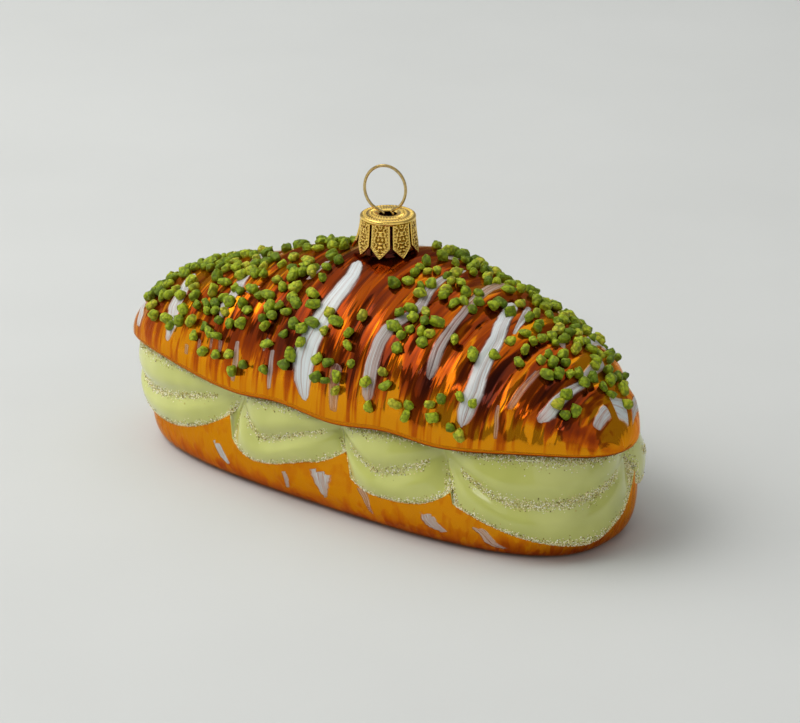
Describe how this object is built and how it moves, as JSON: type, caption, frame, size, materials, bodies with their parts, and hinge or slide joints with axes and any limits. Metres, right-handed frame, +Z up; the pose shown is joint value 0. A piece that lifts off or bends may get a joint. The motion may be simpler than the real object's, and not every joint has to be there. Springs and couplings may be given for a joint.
{
  "type": "glass croissant ornament",
  "caption": "Hanging tree ornament of painted blown glass shaped like a cream-filled croissant with nut crumbs, with a gold metal cap and a wire ring to hang it by.",
  "frame": {"origin": "middle of the flat foot, on the surface it stands on", "axes": "+X along the croissant, +Z up, -Y the front side seen in the picture"},
  "size_m": [0.1, 0.0465, 0.0543],
  "materials": {
    "painted_glass": "glossy amber lacquer on silvered glass, with satin pale green cream, white brush strokes, glitter and green crumbs",
    "cap_metal": "gold, embossed with small dots",
    "ring_wire": "bright gold wire"
  },
  "bodies": {
    "root": {"glass_body": "painted_glass", "hanger_cap": "cap_metal", "hanger_ring": "ring_wire"}
  },
  "joints": []
}
